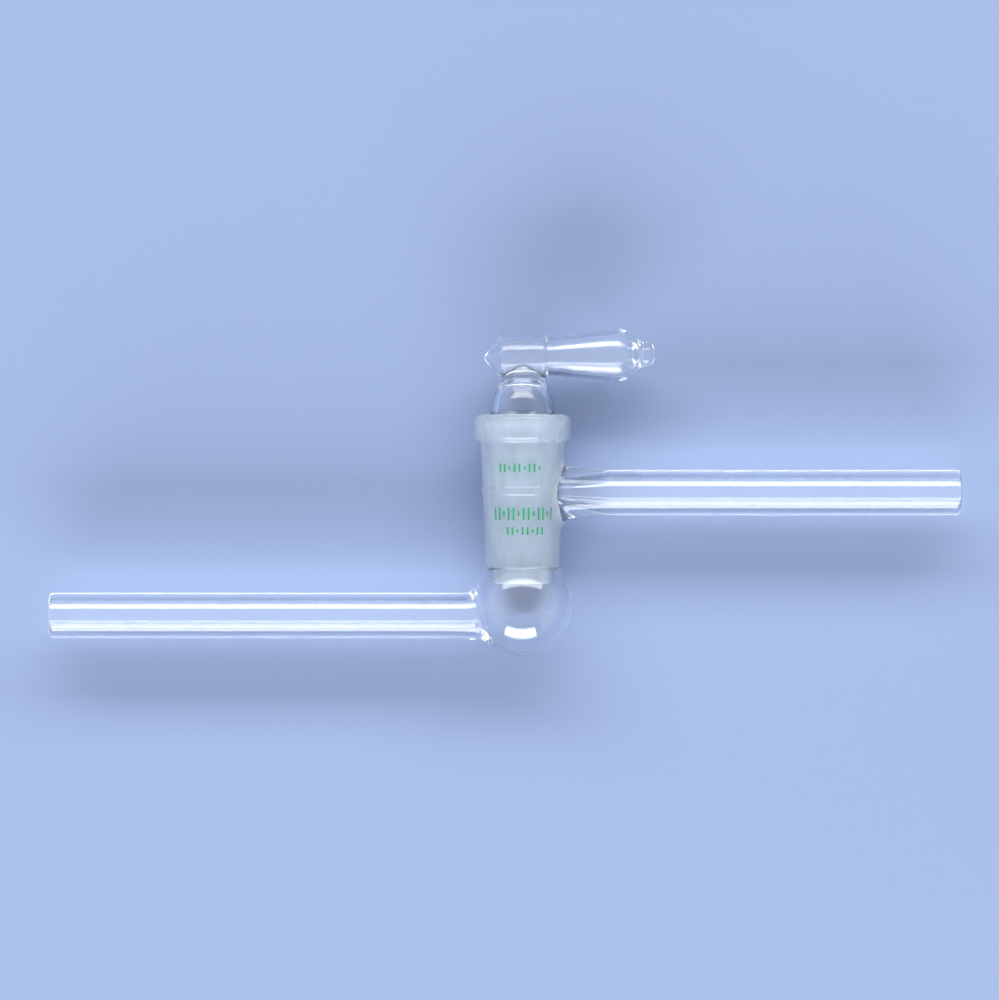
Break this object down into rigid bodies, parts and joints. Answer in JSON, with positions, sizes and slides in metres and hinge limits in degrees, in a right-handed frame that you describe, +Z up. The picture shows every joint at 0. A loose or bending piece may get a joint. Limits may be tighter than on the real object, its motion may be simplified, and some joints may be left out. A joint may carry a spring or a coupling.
{
  "type": "glass stopcock",
  "caption": "Hollow ground-glass plug in a tapered barrel, with a bulb below it and two straight tube arms offset on opposite sides; lies on its side.",
  "frame": {"origin": "centre of the bounding box on the table it lies on, with the plug's axis 5 mm to +X of it", "axes": "+Y along the plug's axis towards the handle, +X along the side arm, +Z up from the table"},
  "size_m": [0.26, 0.0932, 0.0294],
  "materials": {
    "clear_glass": "gloss",
    "ground_glass": "satin",
    "green_enamel": "satin"
  },
  "bodies": {
    "barrel": {"barrel": "clear_glass"},
    "plug": {"plug": "ground_glass"}
  },
  "joints": [
    {"name": "plug_turn", "type": "hinge", "parent": "barrel", "child": "plug", "pos_m": [0.005, -0.00014, 0.0147], "axis": [0, 1, 0], "continuous": true}
  ]
}
